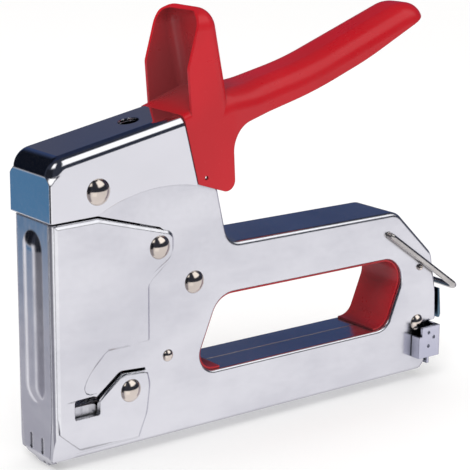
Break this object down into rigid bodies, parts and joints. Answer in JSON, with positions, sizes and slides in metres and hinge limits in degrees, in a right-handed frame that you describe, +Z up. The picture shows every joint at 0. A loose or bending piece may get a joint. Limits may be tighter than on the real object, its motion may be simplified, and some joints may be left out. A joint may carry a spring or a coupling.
{
  "type": "hand staple gun",
  "caption": "Hand staple gun with chromed body, red squeeze lever and thumb hood, spring-driven striker, slide-out staple loader and a wire bail that holds the handle shut.",
  "frame": {"origin": "on the flat underside of the magazine, on the mid plane, 92 mm behind the front edge of the side walls", "axes": "+X from the nose to the rear, +Y across to the far side, +Z up"},
  "size_m": [0.2061, 0.036, 0.1677],
  "materials": {
    "chrome_shell": "bright chrome plate on folded sheet steel",
    "rivet_steel": "polished domed rivet heads",
    "red_lacquer": "smooth red baked lacquer on sheet steel",
    "red_liner": "satin red moulding",
    "plain_steel": "oiled steel, slightly grained",
    "magazine_steel": "plain zinc-plated sheet",
    "spring_steel": "drawn spring wire",
    "bail_steel": "satin plated wire",
    "latch_chrome": "plated sheet with small dimples",
    "dark_steel": "dark oiled steel",
    "bumper_rubber": "matt black rubber"
  },
  "bodies": {
    "frame": {"body_shell": "chrome_shell", "nose_plate": "chrome_shell", "nose_wear_plate": "plain_steel", "head_cap": "chrome_shell", "adjuster_bar": "plain_steel", "adjuster_screw": "rivet_steel", "spring_seat": "plain_steel", "pivot_spacers": "plain_steel", "handle_return_spring": "spring_steel", "drive_spring": "spring_steel", "bumper": "bumper_rubber", "bumper_shelf": "plain_steel", "grip_liner": "red_liner", "magazine_channel": "magazine_steel", "staple_rail": "magazine_steel", "nose_guides": "plain_steel", "head_rivet": "rivet_steel", "pivot_rivet": "rivet_steel", "frame_rivet": "rivet_steel", "nose_rivet": "rivet_steel", "slit_rivet": "rivet_steel", "rear_rivet": "rivet_steel", "bail_stop": "rivet_steel"},
    "lever": {"handle_lever": "red_lacquer", "lift_arm": "plain_steel", "lever_bush": "plain_steel"},
    "striker": {"driver_blade": "plain_steel", "plunger": "plain_steel"},
    "bail": {"bail_wire": "bail_steel"},
    "loader": {"loader_latch": "latch_chrome", "pusher_rod": "magazine_steel", "pusher_spring": "spring_steel"},
    "pusher": {"pusher": "magazine_steel"},
    "release": {"release_button": "dark_steel"}
  },
  "joints": [
    {"name": "handle_hinge", "type": "hinge", "parent": "frame", "child": "lever", "pos_m": [-0.0473, 0, 0.0759], "axis": [0, 1, 0], "range_deg": [0, 31], "stiffness_Nm_per_rad": 12, "springref_deg": -5.73},
    {"name": "striker_slide", "type": "slide", "parent": "frame", "child": "striker", "axis": [0, 0, 1], "range_m": [0, 0.0188], "deforming": ["drive_spring"]},
    {"name": "bail_hinge", "type": "hinge", "parent": "frame", "child": "bail", "pos_m": [0.0691, 0, 0.0633], "axis": [0, -1, 0], "range_deg": [0, 57.8]},
    {"name": "loader_slide", "type": "slide", "parent": "frame", "child": "loader", "axis": [1, 0, 0], "range_m": [0, 0.1]},
    {"name": "pusher_slide", "type": "slide", "parent": "loader", "child": "pusher", "axis": [1, 0, 0], "range_m": [0, 0.08], "stiffness_N_per_m": 60, "springref_m": -0.05, "deforming": ["pusher_spring"]},
    {"name": "release_press", "type": "slide", "parent": "frame", "child": "release", "axis": [-1, 0, 0], "range_m": [0, 0.001], "stiffness_N_per_m": 800, "springref_m": -0.001}
  ],
  "couplings": [
    {"joint": "striker_slide", "follows": "handle_hinge", "m_per_rad": 0.0346}
  ]
}
